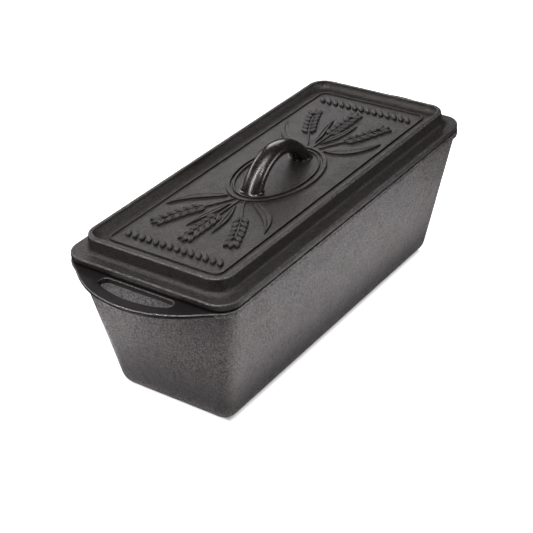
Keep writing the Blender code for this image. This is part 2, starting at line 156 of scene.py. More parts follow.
def grid_normals(grid):
    """The cross product of the steps round the grid and down it, at length one."""
    round_step = np.roll(grid, -1, axis=-2) - np.roll(grid, 1, axis=-2)
    down_step = np.gradient(grid, axis=-3)
    normal = np.cross(round_step, down_step)
    return normal / np.maximum(np.linalg.norm(normal, axis=-1, keepdims=True), NEARLY_ZERO)


def grid_bend(grid):
    """How far a point stands out from its two neighbours down the grid, over their distance squared."""
    normal = grid_normals(grid)
    before = np.concatenate((grid[..., :1, :, :], grid[..., :-1, :, :]), axis=-3)
    after = np.concatenate((grid[..., 1:, :, :], grid[..., -1:, :, :]), axis=-3)
    back = np.linalg.norm(grid - before, axis=-1)
    ahead = np.linalg.norm(after - grid, axis=-1)
    reach = np.maximum(back * ahead, LEAST_STEP ** 2)
    stand_out = np.sum((grid - (before + after) / 2) * normal, axis=-1)
    bend = np.where((back > 0) & (ahead > 0), 2 * stand_out / reach, 0)
    return np.clip(bend / FULL_BEND, -1, 1)


def skin(name, parts, body, bends=None, low_shades=None, coarses=None):
    """One object from a list of grids, or stacks of grids, closed round and merged where they shrink."""
    parts = [part if part.ndim == 4 else part[None] for part in parts]
    bends = [grid_bend(part) for part in parts] if bends is None else bends
    low_shades = [np.zeros(part.shape[:-1]) for part in parts] if low_shades is None else low_shades
    coarses = [np.ones(part.shape[:-1]) for part in parts] if coarses is None else coarses
    corners, count = [], 0
    for part in parts:
        index = count + np.arange(part[..., 0].size).reshape(part.shape[:3])
        beside = np.roll(index, -1, axis=2)
        faces = np.stack((index[:, :-1], index[:, 1:], beside[:, 1:], beside[:, :-1]), -1)
        corners.append(faces.reshape(-1, 4))
        count += index.size
    mesh = bpy.data.meshes.new(name)
    mesh.from_pydata(np.concatenate([part.reshape(-1, 3) for part in parts]), (), np.concatenate(corners))
    # The attributes are the bend, the painted shade low on the pan, and how strongly the sand grain shows.
    for attribute, grids in (("curve", bends), ("soot_and_shade", low_shades), ("coarse", coarses)):
        values = np.concatenate([grid.ravel() for grid in grids]).astype(np.float32)
        mesh.attributes.new(attribute, "FLOAT", "POINT").data.foreach_set("value", values)
    shell = bmesh.new()
    shell.from_mesh(mesh)
    bmesh.ops.remove_doubles(shell, verts=shell.verts, dist=MERGE_DISTANCE)
    bmesh.ops.recalc_face_normals(shell, faces=shell.faces)
    open_edges = sum(edge.is_boundary for edge in shell.edges)
    shell.to_mesh(mesh)
    shell.free()
    mesh.shade_smooth()
    piece = placed(name, mesh)
    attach(piece, body)
    print(name, "faces:", len(mesh.polygons), "open edges:", open_edges)
    return piece

# %% [markdown]
# ## Sizes
# These are the real sizes, in metres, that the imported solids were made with. The fine skins use the
# same ones, so every skin lies where its solid is, and the finished model keeps its length, width
# and height.

# %% Sizes shared by the pan and the lid
RIM_HALF_LENGTH = 185 * MM
RIM_HALF_WIDTH = 81.5 * MM
RIM_CORNER = 18 * MM
PAN_HEIGHT = 126.8 * MM
WALL = 5 * MM
WALL_CORNER = 12.5 * MM
END_OVERHANG = 7.4 * MM
SIDE_OVERHANG = 1.4 * MM
END_TAPER = np.tan(radians(7.4))
SIDE_TAPER = np.tan(radians(11))
LIP_BOTTOM = PAN_HEIGHT - 5 * MM


def wall_half_length(z):
    """Half length of the pan's outer wall: full under the lip, less by the lean for each step down."""
    return RIM_HALF_LENGTH - END_OVERHANG - (LIP_BOTTOM - z) * END_TAPER


def wall_half_width(z):
    """Half width of the pan's outer wall, in the same way."""
    return RIM_HALF_WIDTH - SIDE_OVERHANG - (LIP_BOTTOM - z) * SIDE_TAPER


print("base in mm:", round(2 * wall_half_length(0) / MM), "by", round(2 * wall_half_width(0) / MM))

# %% [markdown]
# ## Levels
# A skin is described from the middle of its underside outwards, up its outside, over its edge and in
# to the middle of its top. Each level is one rounded rectangle: its half length, half width, corner
# radius and height. Round edges and hollow coves are quarter circles, so their levels follow a
# cosine one way and a sine the other: GAIN goes from 0 to 1 as one minus the cosine, and LOSS goes
# from 1 to 0 as one minus the sine.

# %% Collect the levels of a skin
EDGE_STEPS = 7
COVE_STEPS = 10
MIDDLE_LEVELS = 10
QUARTER = np.linspace(0, pi / 2, EDGE_STEPS)
WIDE_QUARTER = np.linspace(0, pi / 2, COVE_STEPS)
GAIN, LOSS = 1 - np.cos(QUARTER), 1 - np.sin(QUARTER)
WIDE_GAIN, WIDE_LOSS = 1 - np.cos(WIDE_QUARTER), 1 - np.sin(WIDE_QUARTER)
NO_LEDGE = np.nan


def level(half_length, half_width, radius, height, ledge=NO_LEDGE):
    """One or more levels as columns of half length, half width, radius, height and ledge inset."""
    return np.stack(np.broadcast_arrays(*np.atleast_1d(half_length, half_width, radius, height, ledge)))


def from_middle(half_length, half_width, radius, height, count):
    """Levels that grow from a line along the middle: each loses the same margin all round."""
    margin = np.linspace(half_width, 0, count)
    return level(half_length - margin, half_width - margin, radius * (1 - margin / half_width), height)


# %% [markdown]
# ## The crescent handles
# The pan's rim runs out into a crescent at both ends. Seen from above its edge is an arc of a circle
# that starts inside the rim near the long sides. The end of each level is pushed out to that arc,
# and where arc and rim meet, the larger of the two is taken, eased over a few millimetres so that
# no crease shows: half of the sum plus the root of the squared difference plus the squared ease.

# %% Push the ends of a level out to the crescents
LEDGE_REACH = 28.2 * MM
LEDGE_SHOULDER = 6 * MM
LEDGE_BLEND = 4 * MM

ledge_root = RIM_HALF_LENGTH - END_OVERHANG - WALL / 2
ledge_rise = RIM_HALF_LENGTH + LEDGE_REACH - ledge_root
LEDGE_RADIUS = ((RIM_HALF_WIDTH - LEDGE_SHOULDER) ** 2 + ledge_rise ** 2) / (2 * ledge_rise)
LEDGE_CENTRE = RIM_HALF_LENGTH + LEDGE_REACH - LEDGE_RADIUS


def rings(*levels):
    """The points of all levels: rounded rectangles, with crescents where a level has a ledge inset."""
    half_length, half_width, radius, height, ledge = np.concatenate(levels, axis=1)
    x, y = rounded_rectangles(half_length, half_width, radius)
    arc = (LEDGE_RADIUS - ledge)[:, None]
    reach = LEDGE_CENTRE + np.sqrt(np.clip(arc ** 2 - y ** 2, 0, None))
    pushed = (np.abs(x) + reach + np.sqrt((np.abs(x) - reach) ** 2 + LEDGE_BLEND ** 2)) / 2
    at_end = np.abs(x) >= (half_length - radius)[:, None] - MERGE_DISTANCE
    with np.errstate(invalid="ignore"):
        out = at_end & (np.abs(y) < arc)
    x = np.where(out, np.sign(x) * pushed, x)
    return np.stack((x, y, np.broadcast_to(height[:, None], x.shape)), axis=-1)


print("crescent radius in mm:", round(LEDGE_RADIUS / MM, 1))

# %% [markdown]
# ## Sand-cast unevenness
# Iron poured into sand never comes out quite true. A sum of slow sine waves in different directions
# stands for it. It is at most an eighth of a millimetre deep, too little to see as a dent, but enough
# to make the highlights along the edges swell and thin. It only ever takes metal away, so nothing
# grows past its real size, and where a keep of 1 is given, nothing moves.

# %% Sink a grid by slow waves
WAVE_DEPTH = 0.12 * MM
WAVE_COUNT = 14
WAVE_CREST = 5
SHORTEST_WAVE = 7
LONGEST_WAVE = 60
waves = np.random.default_rng(7)
wave_ways = waves.normal(size=(3, WAVE_COUNT))
wave_ways /= np.linalg.norm(wave_ways, axis=0)
wave_lengths = np.geomspace(SHORTEST_WAVE, LONGEST_WAVE, WAVE_COUNT) * MM
wave_starts = waves.uniform(0, 2 * pi, WAVE_COUNT)


def uneven(grid, keep=0, flat_ends=True):
    """Move each point in along its normal by the sum of the sines of its place, less where kept."""
    normal = grid_normals(grid)
    if flat_ends:
        normal[0] = np.sign(normal[1, :1, 2:]) * (0, 0, 1)
        normal[-1] = np.sign(normal[-2, :1, 2:]) * (0, 0, 1)
    phase = grid @ (wave_ways * 2 * pi / wave_lengths) + wave_starts
    depth = 0.5 + 0.5 * np.clip(np.sin(phase).sum(axis=-1) / WAVE_CREST, -1, 1)
    return grid - normal * (depth * WAVE_DEPTH * (1 - keep))[..., None]


print("waves:", WAVE_COUNT, "deepest in mm:", WAVE_DEPTH / MM)

# %% [markdown]
# ## The pan
# The pan is one casting: a flat base, leaning walls, a lip that stands out a little over the long
# sides and further over the ends, and the hollow for the loaf. Carrying one profile round the
# rectangle gives all of it, so the wall has a true thickness and the inside is there when the lid
# is lifted. The two halves of the mould met along the lip and left a shallow groove. It is drawn at
# the ends only, round the crescents, where it shows.
#
# The low part of the pan is painted darker than the rest, a painted shade, and the sand grain is stronger
# on the long sides than at the ends.

# %% Levels of the pan from its base over its lip to its floor
BASE_FILLET = 12.5 * MM
FLOOR = 6 * MM
FLOOR_FILLET = 12 * MM
LIP_EDGE = 1 * MM
LIP_UNDER_EDGE = 2.6 * MM
LIP_COVE = 2 * MM
SIDE_LIP_COVE = 0.7 * MM
SIDE_UNDER_EDGE = 0.35 * MM
MOUTH_EDGE = 1 * MM
SEAM_WIDTH = 1.4 * MM
SEAM_DEPTH = 0.8 * MM
SEAM_SHARES = np.array((0.1, 0.25, 0.75, 0.9))
LEAST_CORNER = 1 * MM
WALL_LEVELS = 26
# Painted shade: how dark the low part of the pan is painted, up to what height, and where on the base
# fillet it starts.
LOW_SHADE = 0.95
LOW_SHADE_HEIGHT = 95 * MM
BASE_SHADE_START = 0.5
KEPT_LEDGE = 4 * MM
SMOOTH_END = 0.26


def wall_level(inset, corner, height):
    """Levels that follow the leaning wall, drawn in by the same inset all round."""
    corner = np.maximum(corner, LEAST_CORNER)
    return level(wall_half_length(height) - inset, wall_half_width(height) - inset, corner, height)


def lip_level(inset, side_inset, height):
    """Levels of the lip, crescents included, with an inset of their own for the long sides."""
    return level(RIM_HALF_LENGTH - inset, RIM_HALF_WIDTH - side_inset, RIM_CORNER - inset, height, inset)


inset = BASE_FILLET * WIDE_LOSS
fillet = wall_level(inset, WALL_CORNER - inset, BASE_FILLET * WIDE_GAIN)
base = from_middle(fillet[0, 0], fillet[1, 0], LEAST_CORNER, 0, MIDDLE_LEVELS)
wall = wall_level(0, WALL_CORNER, np.linspace(BASE_FILLET, LIP_BOTTOM - LIP_COVE, WALL_LEVELS))

height = LIP_BOTTOM - LIP_COVE * LOSS
cove = level(
    wall_half_length(height) + LIP_COVE * GAIN, wall_half_width(height) + SIDE_LIP_COVE * GAIN,
    WALL_CORNER, height)

lower_edge = lip_level(
    LIP_UNDER_EDGE * LOSS, SIDE_UNDER_EDGE * LOSS, LIP_BOTTOM + LIP_UNDER_EDGE * GAIN)
seam_height = LIP_BOTTOM + LIP_UNDER_EDGE + SEAM_WIDTH * SEAM_SHARES
seam = lip_level(SEAM_DEPTH * np.array((0, 1, 1, 0)), 0, seam_height)
upper_edge = lip_level(LIP_EDGE * GAIN, LIP_EDGE * GAIN, PAN_HEIGHT - LIP_EDGE * LOSS)

mouth_length = wall_half_length(PAN_HEIGHT) - WALL
mouth_width = wall_half_width(PAN_HEIGHT) - WALL
mouth_corner = WALL_CORNER - WALL
outset = MOUTH_EDGE * LOSS
mouth = level(
    mouth_length + outset, mouth_width + outset, mouth_corner + outset, PAN_HEIGHT - MOUTH_EDGE * GAIN)

height = np.linspace(PAN_HEIGHT - 3 * MOUTH_EDGE, FLOOR + FLOOR_FILLET, WALL_LEVELS)
inner_wall = wall_level(WALL, mouth_corner, height)
inset = WALL + FLOOR_FILLET * WIDE_GAIN
hollow = wall_level(inset, WALL_CORNER - inset, FLOOR + FLOOR_FILLET * WIDE_LOSS)
floor = from_middle(hollow[0, -1], hollow[1, -1], LEAST_CORNER, FLOOR, MIDDLE_LEVELS)[:, ::-1]

pan_grid = rings(
    base[:, :-1], fillet, wall[:, 1:], cove[:, 1:], lower_edge, seam, upper_edge,
    mouth, inner_wall, hollow[:, 1:], floor[:, 1:],
)
on_ledge = np.clip((np.abs(pan_grid[..., 0]) - RIM_HALF_LENGTH) / KEPT_LEDGE + 1, 0, 1)
# Painted shade low on the pan: darkest just above the base fillet, fading out upwards.
low = 1 - np.clip(pan_grid[..., 2] / LOW_SHADE_HEIGHT, 0, 1)
off_base = np.clip(pan_grid[..., 2] / BASE_FILLET - BASE_SHADE_START, 0, 1)
soot_and_shade = LOW_SHADE * low * low * (3 - 2 * low) * off_base
pan_grid = uneven(pan_grid, keep=on_ledge * (pan_grid[..., 2] >= LIP_BOTTOM))
to_side = 1 + (np.abs(pan_grid[..., 1]) - wall_half_width(pan_grid[..., 2])) / WALL_CORNER
coarse = SMOOTH_END + (1 - SMOOTH_END) * np.clip(to_side, 0, 1)
pan = skin("pan_casting", [pan_grid], "pan", low_shades=[soot_and_shade], coarses=[coarse])
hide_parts("pan")

# %% [markdown]
# ## Finger slots
# A slot runs through each crescent. It is straight along the wall, follows the crescent on the
# outside and has round ends. Its rims are eased, so the body that is cut out of the crescent has the
# slot's outline in the middle and flares out at both faces in a quarter circle.

# %% Cut a flared slot through each crescent
SLOT_HALF_LENGTH = 35.75 * MM
SLOT_DEPTH = 16.7 * MM
SLOT_END = 5.5 * MM
SLOT_WEB = 10.2 * MM
SLOT_RIM = 0.9 * MM
SLOT_UNDER_RIM = 0.3 * MM
SLOT_MARGIN = 4 * MM
ARC_POINTS = 60
ROUND_POINTS = 24


def slot_outline(offset):
    """An outer arc, a round end, a straight inner side and the other round end, all moved out alike."""
    outer = RIM_HALF_LENGTH + LEDGE_REACH - SLOT_WEB
    end_x = outer - SLOT_DEPTH + SLOT_END
    end_y = SLOT_HALF_LENGTH - SLOT_END
    drop = outer - SLOT_END - end_x
    bend = (end_y ** 2 + drop ** 2) / (2 * drop) + SLOT_END
    centre = outer - bend
    meet = np.arctan2(end_y, end_x - centre)
    along = np.linspace(-meet, meet, ARC_POINTS)
    left = np.linspace(meet, pi, ROUND_POINTS)[1:]
    right = np.linspace(pi, 2 * pi - meet, ROUND_POINTS)[:-1]
    arc = np.stack((centre + (bend + offset) * np.cos(along), (bend + offset) * np.sin(along)), -1)
    ends = [
        np.stack((end_x + (SLOT_END + offset) * np.cos(turn),
                  side * end_y + (SLOT_END + offset) * np.sin(turn)), -1)
        for side, turn in ((1, left), (-1, right))
    ]
    return np.concatenate((arc, *ends))


def shrunk(ring):
    """A ring with all its points at its middle, which closes the end of a grid."""
    return ring.mean(axis=1, keepdims=True) + np.zeros_like(ring)


def slot_body(name, end):
    """The slot's outline at each height, flared at the crescent's faces and closed above and below."""
    offsets = np.concatenate((
        [SLOT_UNDER_RIM], SLOT_UNDER_RIM * GAIN[::-1], SLOT_RIM * GAIN, [SLOT_RIM]))
    heights = np.concatenate((
        [LIP_BOTTOM - SLOT_MARGIN],
        LIP_BOTTOM + SLOT_UNDER_RIM * LOSS[::-1],
        PAN_HEIGHT - SLOT_RIM * LOSS,
        [PAN_HEIGHT + SLOT_MARGIN],
    ))
    outlines = np.stack([slot_outline(offset) for offset in offsets])
    z = np.broadcast_to(heights[:, None], outlines.shape[:2])
    wall_grid = np.stack((end * outlines[..., 0], outlines[..., 1], z), -1)
    grid = np.concatenate((shrunk(wall_grid[:1]), wall_grid, shrunk(wall_grid[-1:])))
    return skin(name, [grid], "pan", [-grid_bend(grid)])


def cut(piece, *bodies):
    """Take the bodies out of the piece for good, and the bodies out of the scene."""
    for body in bodies:
        step = piece.modifiers.new(body.name, "BOOLEAN")
        step.object = body
        step.operation = "DIFFERENCE"
        step.solver = "EXACT"
    made = bpy.data.meshes.new_from_object(piece.evaluated_get(bpy.context.evaluated_depsgraph_get()))
    piece.modifiers.clear()
    piece.data = made
    for body in bodies:
        bpy.data.objects.remove(body)
    print(piece.name, "faces after cutting:", len(made.polygons))


cut(pan, slot_body("slot_far", 1), slot_body("slot_near", -1))

# %% [markdown]
# ## The lid
# The lid is the second casting. From its edge in: a thick flange, a cove up to a raised box, a narrow
# land round its top that falls a little outwards, and a tray inside it that keeps coals or ash from
# sliding off. Underneath it is hollow, with a rib that drops inside the pan's mouth and stops the lid
# from sliding.

# %% Levels of the lid from its hollow over its flange to its tray
SEAT_GAP = 0.3 * MM
FLANGE_THICKNESS = 6.7 * MM
FLANGE_EDGE = 1.6 * MM
FLANGE_UNDER_EDGE = 2.4 * MM
FLANGE_FALL = 0.3 * MM
LID_RISE = 21 * MM
RAISED_INSET = 10.8 * MM
RAISED_DRAFT = 0.5 * MM
RAISED_CORNER = 16.5 * MM
LID_COVE = 4 * MM
LAND = 4 * MM
LAND_EDGE = 0.7 * MM
LAND_OUTER_EDGE = 1.4 * MM
LAND_FALL = 0.6 * MM
TRAY_DEPTH = 7.1 * MM
TRAY_COVE = 6 * MM
PLATE = 4.5 * MM
RIB_HEIGHT = 3 * MM
RIB_WIDTH = 4 * MM
RIB_CLEARANCE = 1 * MM
RIB_EDGE = 0.8 * MM
CEILING_FILLET = TRAY_COVE / 2
STRIP_LEVELS = 8
PANEL_LEVELS = 26
FLANGE_BOTTOM = PAN_HEIGHT + SEAT_GAP
FLANGE_TOP = FLANGE_BOTTOM + FLANGE_THICKNESS
LAND_HEIGHT = FLANGE_BOTTOM + LID_RISE
PANEL_HEIGHT = LAND_HEIGHT - TRAY_DEPTH
STRIP_TOP = FLANGE_TOP + FLANGE_FALL


def lid_level(inset, corner, height):
    """A level of the lid, drawn in from the rim by the same inset all round."""
    return level(RIM_HALF_LENGTH - inset, RIM_HALF_WIDTH - inset, corner, height)


def rib_level(inset, height):
    """A level of the rib, which stays clear of the pan's mouth all round."""
    inset = inset + RIB_CLEARANCE
    return level(mouth_length - inset, mouth_width - inset, mouth_corner - inset, height)


hollow_inset = RAISED_INSET + PLATE
hollow_corner = RAISED_CORNER - PLATE
ceiling = PANEL_HEIGHT - PLATE
ceiling_inset = CEILING_FILLET * LOSS
hollow_rows = lid_level(
    hollow_inset + ceiling_inset, hollow_corner - ceiling_inset, ceiling - CEILING_FILLET * GAIN)
ceiling_rows = from_middle(*hollow_rows[:3, 0], ceiling, MIDDLE_LEVELS)
hollow_foot = lid_level(hollow_inset, hollow_corner, FLANGE_BOTTOM + FLANGE_THICKNESS / 2)

rib_bottom = FLANGE_BOTTOM - RIB_HEIGHT
rib_round = RIB_EDGE * LOSS
rib_drop = RIB_EDGE * GAIN
rib_rows = (
    rib_level(RIB_WIDTH, FLANGE_BOTTOM),
    rib_level(RIB_WIDTH - rib_round[::-1], rib_bottom + rib_drop[::-1]),
    rib_level(rib_round, rib_bottom + rib_drop),
    rib_level(0, FLANGE_BOTTOM),
)

lower_inset = FLANGE_UNDER_EDGE * LOSS
upper_inset = FLANGE_EDGE * GAIN
flange_rows = (
    lid_level(lower_inset, RIM_CORNER - lower_inset,
              FLANGE_BOTTOM + FLANGE_UNDER_EDGE * GAIN),
    lid_level(upper_inset, RIM_CORNER - upper_inset, FLANGE_TOP - FLANGE_EDGE * LOSS),
)

strip = np.linspace(0, 1, STRIP_LEVELS)[1:-1]
strip_inner = RAISED_INSET - LID_COVE
strip_rows = lid_level(
    FLANGE_EDGE + (strip_inner - FLANGE_EDGE) * strip,
    RIM_CORNER - FLANGE_EDGE * (1 - strip),
    FLANGE_TOP + FLANGE_FALL * strip,
)
cove_rows = lid_level(
    RAISED_INSET - LID_COVE * WIDE_LOSS, RAISED_CORNER, STRIP_TOP + LID_COVE * WIDE_GAIN)

land_outer = RAISED_INSET + RAISED_DRAFT
land_inner = land_outer + LAND
outer_edge = LAND_OUTER_EDGE * GAIN
inner_edge = LAND_EDGE * LOSS
land_rows = (
    lid_level(land_outer + outer_edge, RAISED_CORNER - outer_edge,
              LAND_HEIGHT - LAND_FALL - LAND_OUTER_EDGE * LOSS),
    lid_level(land_inner - inner_edge, RAISED_CORNER - LAND + inner_edge,
              LAND_HEIGHT - LAND_EDGE * GAIN),
)

tray_inset = TRAY_COVE * WIDE_GAIN
tray_corner = RAISED_CORNER - LAND
tray_rows = lid_level(
    land_inner + tray_inset, tray_corner - tray_inset, PANEL_HEIGHT + TRAY_COVE * WIDE_LOSS)
panel_rows = from_middle(
    tray_rows[0, -1], tray_rows[1, -1], tray_corner - TRAY_COVE, PANEL_HEIGHT, PANEL_LEVELS)[:, ::-1]

lid_grid = rings(
    ceiling_rows[:, :-1], hollow_rows, hollow_foot, *rib_rows, *flange_rows, strip_rows,
    cove_rows, *land_rows, tray_rows, panel_rows[:, 1:],
)
lid = skin("lid_casting", [uneven(lid_grid)], "lid")
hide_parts("lid")

# %% [markdown]
# ## The arched handle
# The handle is cast with the lid, so its feet spread into the tray without a seam. Its middle line is
# the arc of a circle whose centre lies below the tray, and its section is an oval that grows thicker
# towards the feet. The line along the outside of the bar meets the tray further out than the line
# along its inside, so each line has an end angle of its own. Near the tray the section swells by a
# quarter circle, which is the fillet that a mould maker cuts there.

# %% Carry an oval along the arch
ARCH_HALF_SPAN = 36.8 * MM
ARCH_RISE = 22.8 * MM
ARCH_TOP = np.array((18.6, 12.2)) * MM
ARCH_FOOT = np.array((19.8, 14.0)) * MM
ARCH_FILLET = 1.8 * MM
ARCH_SINK = 0.6 * MM
ARCH_SIDES = 48
ARCH_STEPS = 97
ARCH_RADIUS = (ARCH_HALF_SPAN ** 2 + ARCH_RISE ** 2) / (2 * ARCH_RISE)
ARCH_DROP = ARCH_RADIUS - ARCH_RISE

arch_share = np.sin(np.linspace(-pi / 2, pi / 2, ARCH_STEPS))[:, None]
round_turn = np.linspace(0, 2 * pi, ARCH_SIDES, endpoint=False)
outward = np.sin(round_turn)
section = ARCH_FOOT + (ARCH_TOP - ARCH_FOOT) * (1 - arch_share ** 2)
end_turn = np.arccos(ARCH_DROP / (ARCH_RADIUS + ARCH_FOOT[1] / 2 * outward))
arch_turn = arch_share * end_turn
arch_reach = ARCH_RADIUS + section[:, 1:] / 2 * outward
arch_up = arch_reach * np.cos(arch_turn) - ARCH_DROP
down = np.clip(ARCH_FILLET - arch_up, 0, ARCH_FILLET)
flare = ARCH_FILLET - np.sqrt(ARCH_FILLET ** 2 - down ** 2)
arch_grid = np.stack((
    arch_reach * np.sin(arch_turn) + flare * np.sign(arch_share) * outward,
    (section[:, :1] / 2 + flare) * np.cos(round_turn),
    PANEL_HEIGHT + arch_up,
), -1)
first, last = arch_grid[:1] - (0, 0, ARCH_SINK), arch_grid[-1:] - (0, 0, ARCH_SINK)
arch_grid = uneven(arch_grid, flat_ends=False)
arch_grid = np.concatenate((shrunk(first), first, arch_grid, last, shrunk(last)))
arch = skin("lid_handle", [arch_grid], "lid")

# %% [markdown]
# ## Raised ornament on the tray
# The tray carries cast ornament a millimetre and a half high: plain oval bands round the handle,
# ears of wheat with leaves towards both ends, a roped bar at each end and a plain line round the
# border. All of it is made by one rule. A path is drawn on the tray, a width is given along it, and
# a raised section is carried along the path: a small fillet at the foot, a steep side, a rounded
# shoulder and a top that is flat, domed or grooved. Where the width runs out the section shrinks to
# a point, so every leaf and grain is a closed body that sits a little way into the tray.

# %% The raised section
RELIEF_SINK = 0.4 * MM
SIDE_IN = np.array((0, 0, 0.14, 0.22, 0.28, 0.34, 0.43, 0.6, 0.9)) * MM
SIDE_RISE = np.array((0, 0, 0.05, 0.2, 0.45, 0.72, 0.9, 0.98, 1.0))
TOP_POINTS = 13
GROOVE_WIDTH = 0.16


def raised(path, half_width, height, dome=0.0, groove=0.0):
    """Rows along paths (..., n, 2): sides by inset from the outline, then a top by share of the rest."""
    half_width = np.broadcast_to(half_width, path.shape[:-1])[..., None]
    height = np.broadcast_to(height, path.shape[:-1])[..., None]
    closed = np.allclose(path[..., 0, :], path[..., -1, :])
    if closed:
        path = np.concatenate((path[..., -2:-1, :], path, path[..., 1:2, :]), -2)
    step = np.gradient(path, axis=-2)
    step /= np.linalg.norm(step, axis=-1, keepdims=True)
    if closed:
        path, step = path[..., 1:-1, :], step[..., 1:-1, :]
    left = np.stack((-step[..., 1], step[..., 0]), -1)[..., None, :]
    inset = np.minimum(SIDE_IN, half_width)
    share = np.linspace(1, -1, TOP_POINTS + 2)[1:-1]
    rest = half_width - inset[..., -1:]
    offset = np.concatenate((half_width - inset, share * rest, (inset - half_width)[..., ::-1]), -1)
    crown = 1 + dome * (1 - share ** 2) - groove * np.exp(-(share / GROOVE_WIDTH) ** 2)
    rise = np.concatenate((SIDE_RISE, crown, SIDE_RISE[::-1]))
    full = np.clip(half_width / SIDE_IN[-1], 0, 1)
    z = (height * rise + RELIEF_SINK) * full - RELIEF_SINK
    z[..., 0] = z[..., -1] = -RELIEF_SINK
    place = path[..., None, :] + offset[..., None] * left
    return np.concatenate((place, PANEL_HEIGHT + z[..., None]), -1)


def drawn_curve(points, count):
    """From the first to the last of four points, drawn to the other two: a cubic blend of all four."""
    t = np.linspace(0, 1, count)[:, None]
    a, b, c, d = (np.asarray(points, float)[..., None, i, :] for i in range(4))
    return a * (1 - t) ** 3 + 3 * b * t * (1 - t) ** 2 + 3 * c * t ** 2 * (1 - t) + d * t ** 3


def blade(points, half_width, height, fullest, blunt, count=36, **top):
    """A leaf or a grain: the width follows a sine of the way along, raised to a power."""
    t = np.linspace(0, 1, count)
    swell = np.clip(np.sin(pi * t ** fullest), 0, None) ** blunt
    swell[-1] = 0
    width = np.asarray(half_width)[..., None] * swell
    return raised(drawn_curve(points, count), width, height, **top)


# %% [markdown]
# ## Wheat, leaves, bands and ropes
# One ear is two rows of grains that lean out from a stem, with a last grain at its tip. The grains
# are worked out together: their feet lie along the stem, and each points along it, turned a little
# outwards. A spray is three ears and four leaves. The far spray is the near one turned half round.

# %% Draw the ornament
RELIEF_HEIGHT = 1.5 * MM
LOW_RELIEF = RELIEF_HEIGHT * 0.8
BORDER_INSET = 26.5 * MM
BORDER_HALF = np.array((RIM_HALF_LENGTH - BORDER_INSET, RIM_HALF_WIDTH - BORDER_INSET))
BORDER_CORNER = 7 * MM
BORDER_HALF_WIDTH = 1.1 * MM
STEM_POINTS = 60
STEM_HALF_WIDTH = 1.1 * MM
STEM_SWELL = 20
GRAIN_PAIRS = 6
GRAIN_POINTS = 22
GRAIN_SPACING = 7.4 * MM
GRAIN_LENGTH = 10.5 * MM
GRAIN_HALF_WIDTH = 2.75 * MM
GRAIN_LEAN = radians(27)
GRAIN_BULGE = 0.09
TIP_POINTS = 8
TIP_REACH = 2 * MM
TIP_GAP = 0.5 * MM
TIP_LENGTH = 1.05
INNER_LEAF_HALF_WIDTH = 3.1 * MM
OUTER_LEAF_HALF_WIDTH = 5.2 * MM
OVAL_POINTS = 241
OUTER_OVAL = (53.1 * MM, 34.5 * MM, 2.1 * MM)
INNER_OVAL = (48.1 * MM, 29.5 * MM, 1.2 * MM)
ROPE_PLACE = 143 * MM
ROPE_HALF_LENGTH = 45.5 * MM
ROPE_SPACING = 7 * MM
ROPE_SLANT = np.array((4.6, 3.4)) * MM
ROPE_HALF_WIDTH = 2.7 * MM


def turned(vector, angle):
    """Vectors turned by an angle: (x cos a - y sin a, x sin a + y cos a)."""
    x, y = vector[..., 0], vector[..., 1]
    return np.stack((x * np.cos(angle) - y * np.sin(angle), x * np.sin(angle) + y * np.cos(angle)), -1)


def grains(stem):
    """Pairs of grains down a stem from its tip, and one more at the tip itself."""
    way = (stem[-1] - stem[-TIP_POINTS]) / np.linalg.norm(stem[-1] - stem[-TIP_POINTS])
    walk = np.concatenate(([0], np.cumsum(np.linalg.norm(np.diff(stem, axis=0), axis=1))))
    feet_at = walk[-1] - GRAIN_SPACING * np.arange(GRAIN_PAIRS)
    feet = np.stack([np.interp(feet_at, walk, stem[:, axis]) for axis in (0, 1)], -1)
    ahead = np.stack([np.interp(feet_at + MM, walk, stem[:, axis]) for axis in (0, 1)], -1)
    ways = np.where((feet_at > walk[-1] - TIP_REACH)[:, None], way, (ahead - feet) / MM)
    ways /= np.linalg.norm(ways, axis=1, keepdims=True)
    starts, ends, bends = [], [], []
    for side in (1, -1):
        outward = turned(ways, side * pi / 2)
        heading = turned(ways, side * GRAIN_LEAN)
        foot = feet + outward * STEM_HALF_WIDTH
        starts.append(foot)
        ends.append(foot + heading * GRAIN_LENGTH)
        bends.append(foot + heading * GRAIN_LENGTH / 2 + outward * GRAIN_LENGTH * GRAIN_BULGE)
    starts.append(stem[-1:] + way * TIP_GAP)
    ends.append(starts[-1] + way * GRAIN_LENGTH * TIP_LENGTH)
    bends.append((starts[-1] + ends[-1]) / 2)
    start, end, bend = (np.concatenate(part) for part in (starts, ends, bends))
    points = np.stack((start, (start + 2 * bend) / 3, (end + 2 * bend) / 3, end), 1)
    return blade(points, GRAIN_HALF_WIDTH, RELIEF_HEIGHT, fullest=0.8, blunt=0.72, count=GRAIN_POINTS,
                 dome=0.22, groove=0.2)


def spray():
    """Three ears on their stems, and four leaves, in shares of the border's half size, towards +X."""
    middle = ((0.34, 0), (0.41, 0), (0.5, 0), (0.765, 0))
    outer = np.array(((0.335, 0.09), (0.415, 0.165), (0.49, 0.4), (0.705, 0.635)))
    inner_leaf = np.array(((0.39, 0.035), (0.49, 0.13), (0.59, 0.2), (0.715, 0.235)))
    outer_leaf = np.array(((0.335, 0.22), (0.365, 0.51), (0.43, 0.765), (0.58, 0.91)))
    flip = np.array((1, -1))
    stems = np.array((middle, outer, outer * flip)) * BORDER_HALF
    leaves = np.array((inner_leaf, inner_leaf * flip, outer_leaf, outer_leaf * flip)) * BORDER_HALF
    stem_paths = drawn_curve(stems, STEM_POINTS)
    t = np.linspace(0, 1, STEM_POINTS)
    return [
        raised(stem_paths, STEM_HALF_WIDTH * np.clip(STEM_SWELL * t * (1 - t), 0, 1), LOW_RELIEF),
        *(grains(stem) for stem in stem_paths),
        blade(leaves[:2], INNER_LEAF_HALF_WIDTH, RELIEF_HEIGHT, fullest=0.9, blunt=1.1, groove=0.35),
        blade(leaves[2:], OUTER_LEAF_HALF_WIDTH, RELIEF_HEIGHT, fullest=0.8, blunt=1.0, groove=0.35),
    ]


